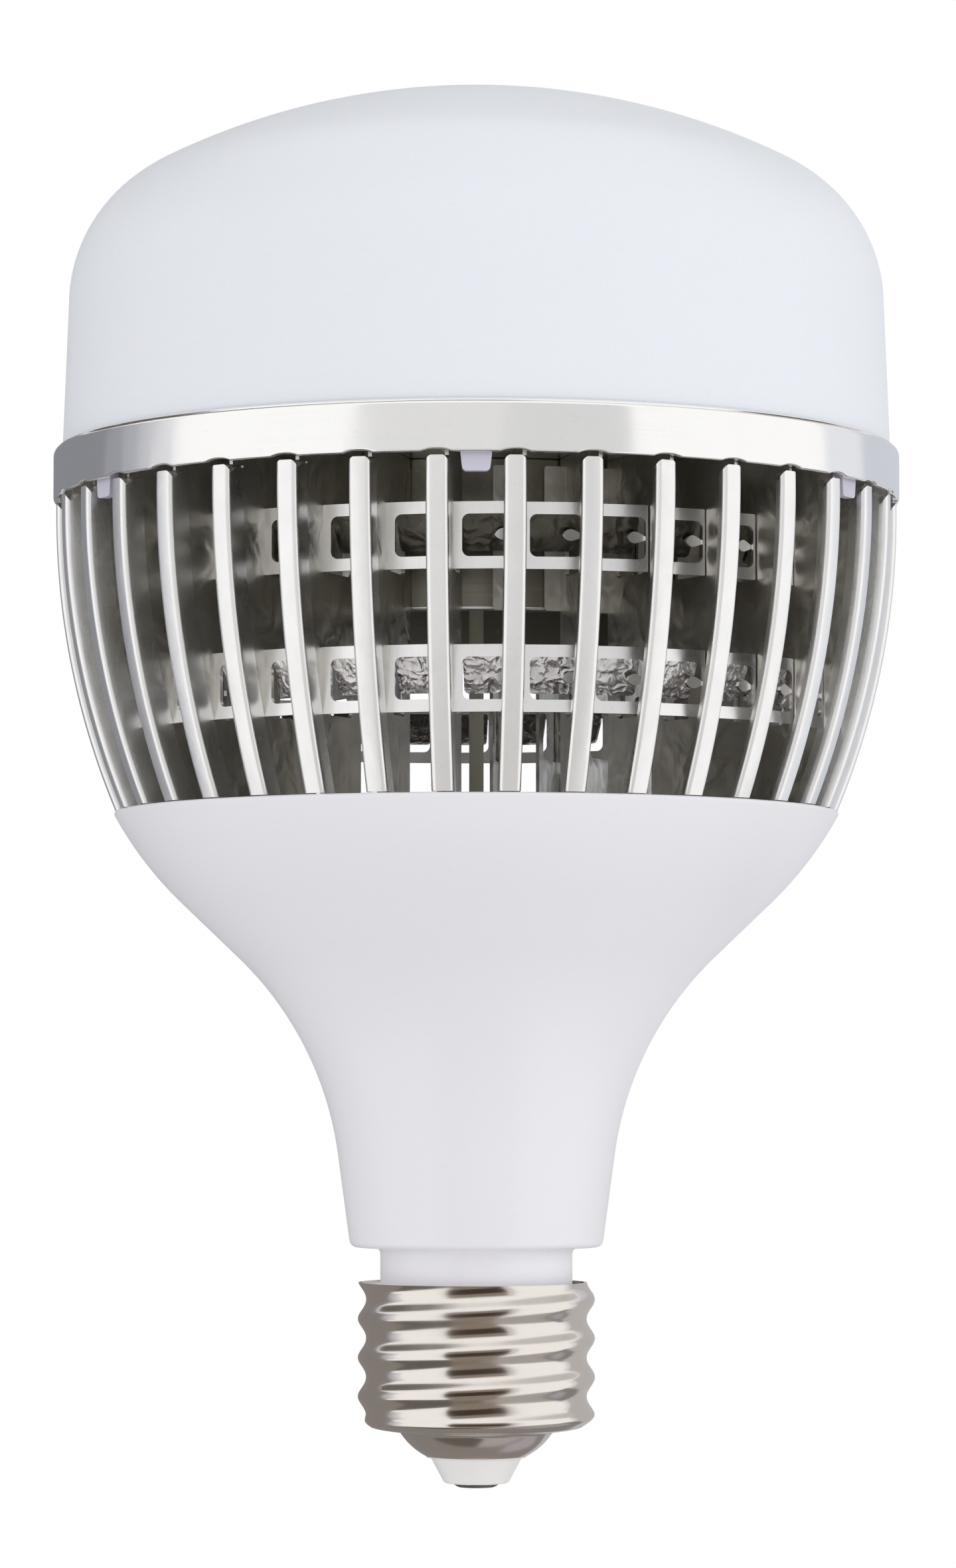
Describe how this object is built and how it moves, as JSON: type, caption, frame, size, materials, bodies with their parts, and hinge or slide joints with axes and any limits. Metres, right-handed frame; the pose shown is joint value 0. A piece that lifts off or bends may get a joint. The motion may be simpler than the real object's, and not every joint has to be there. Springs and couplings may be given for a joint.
{
  "type": "led bulb",
  "caption": "High-power LED bulb with a moulded diffuser dome, a see-through cage of stamped cooling fins, an ogee plastic housing and a large screw cap.",
  "frame": {"origin": "bottom of the centre contact, on the bulb's axis", "axes": "+Z along the bulb's axis towards the dome; -Y is the front, midway between two fins and through one of the diffuser's snap tabs"},
  "size_m": [0.14, 0.14, 0.2302],
  "materials": {
    "diffuser": "opal polycarbonate, satin",
    "pan": "drawn, satin bright",
    "tube": "drawn",
    "rivets": "plain",
    "board": "white solder mask on aluminium",
    "chips": "phosphor lens",
    "screws": "zinc plated",
    "lead_sleeve": "heat-resistant sleeve",
    "grommet": "matt",
    "seat_plate": "stamped",
    "fins": "stamped, satin",
    "housing": "moulded, soft gloss",
    "collar": "moulded",
    "cap_shell": "nickel plated, rolled",
    "insulator": "moulded",
    "contact": "pressed, soldered",
    "circuit_board": "solder mask",
    "can": "sleeved can",
    "ferrite": "sintered",
    "winding": "taped copper coil",
    "film": "dipped box",
    "heatsink": "plain",
    "leads": "insulated lead"
  },
  "bodies": {
    "root": {"diffuser": "diffuser", "led_pan": "pan", "core_tube": "tube", "core_rivets": "rivets", "led_board": "board", "led_chips": "chips", "board_screws": "screws", "lead_sleeve": "lead_sleeve", "lead_grommet": "grommet", "seat_plate": "seat_plate", "seat_screws": "screws", "housing": "housing", "cap_sleeve": "collar", "cap_shell": "cap_shell", "cap_insulator": "insulator", "centre_contact": "contact", "driver_board": "circuit_board", "bulk_capacitor": "can", "transformer_core": "ferrite", "transformer_winding": "winding", "film_capacitor": "film", "filter_choke": "ferrite", "mosfet_heatsink": "heatsink", "contact_leads": "leads", "fin_01": "fins", "fin_02": "fins", "fin_03": "fins", "fin_04": "fins", "fin_05": "fins", "fin_06": "fins", "fin_07": "fins", "fin_08": "fins", "fin_09": "fins", "fin_10": "fins", "fin_11": "fins", "fin_12": "fins", "fin_13": "fins", "fin_14": "fins", "fin_15": "fins", "fin_16": "fins", "fin_17": "fins", "fin_18": "fins", "fin_19": "fins", "fin_20": "fins", "fin_21": "fins", "fin_22": "fins", "fin_23": "fins", "fin_24": "fins", "fin_25": "fins", "fin_26": "fins", "fin_27": "fins", "fin_28": "fins", "fin_29": "fins", "fin_30": "fins", "fin_31": "fins", "fin_32": "fins", "fin_33": "fins", "fin_34": "fins", "fin_35": "fins", "fin_36": "fins"}
  },
  "joints": []
}
